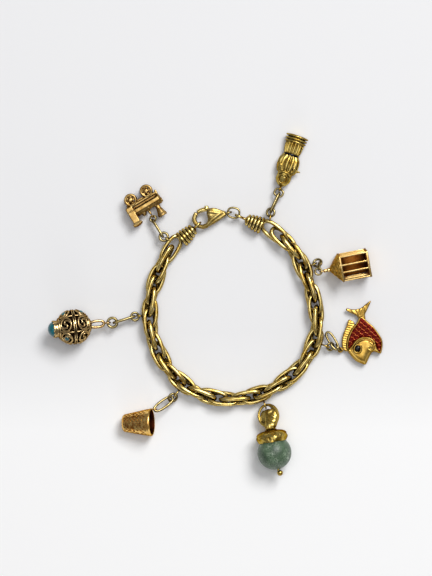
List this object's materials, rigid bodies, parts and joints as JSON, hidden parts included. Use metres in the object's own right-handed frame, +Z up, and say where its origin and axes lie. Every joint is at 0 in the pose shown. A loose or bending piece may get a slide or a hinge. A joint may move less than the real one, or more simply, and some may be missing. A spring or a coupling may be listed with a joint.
{
  "type": "charm bracelet",
  "caption": "Charm bracelet lying open on a table: a loop of long oval links laid in a twist between ribbed end caps, with a lobster clasp and charms hung from jump rings.",
  "frame": {"origin": "middle of the bracelet's bounding box, on the table it lies on", "axes": "+Z up from the table, +Y from the middle of the loop towards the clasp, +X to the right seen from above"},
  "size_m": [0.1174, 0.1202, 0.0124],
  "materials": {
    "chain_gold": "polished greenish yellow gold",
    "charm_gold": "warm cast gold, dark in its recesses",
    "ring_gold": "pale worn gold wire",
    "bead_stone": "polished green quartz",
    "blue_stone": "polished turquoise cabochon"
  },
  "bodies": {
    "bracelet": {"cap_left": "chain_gold", "cap_right": "chain_gold", "link_01": "chain_gold", "link_02": "chain_gold", "link_03": "chain_gold", "link_04": "chain_gold", "link_05": "chain_gold", "link_06": "chain_gold", "link_07": "chain_gold", "link_08": "chain_gold", "link_09": "chain_gold", "link_10": "chain_gold", "link_11": "chain_gold", "link_12": "chain_gold", "link_13": "chain_gold", "link_14": "chain_gold", "link_15": "chain_gold", "link_16": "chain_gold", "link_17": "chain_gold", "link_18": "chain_gold", "link_19": "chain_gold", "link_20": "chain_gold", "link_21": "chain_gold", "link_22": "chain_gold", "link_23": "chain_gold", "link_24": "chain_gold", "link_25": "chain_gold", "link_26": "chain_gold", "link_27": "chain_gold", "link_28": "chain_gold", "link_29": "chain_gold", "link_30": "chain_gold", "link_31": "chain_gold", "link_32": "chain_gold", "link_33": "chain_gold", "link_34": "chain_gold", "link_35": "chain_gold", "link_36": "chain_gold", "link_37": "chain_gold", "clasp_body": "chain_gold", "clasp_ring": "ring_gold", "locomotive_hanger": "ring_gold", "figure_hanger": "ring_gold", "cage_hanger": "ring_gold", "fish_hanger": "ring_gold", "thimble_hanger": "ring_gold", "fob_hanger": "ring_gold", "locomotive": "charm_gold", "figure": "chain_gold", "cage": "charm_gold", "fish": "charm_gold", "bead_bail": "chain_gold", "bead": "bead_stone", "thimble": "charm_gold", "fob": "ring_gold", "fob_stone": "blue_stone"},
    "lever": {"clasp_lever": "chain_gold"}
  },
  "joints": [
    {"name": "clasp_lever_pivot", "type": "hinge", "parent": "bracelet", "child": "lever", "pos_m": [-0.00137, 0.03251, 0.00305], "axis": [0, 0, 1], "range_deg": [0, 22], "stiffness_Nm_per_rad": 0.003, "springref_deg": -8.59}
  ]
}
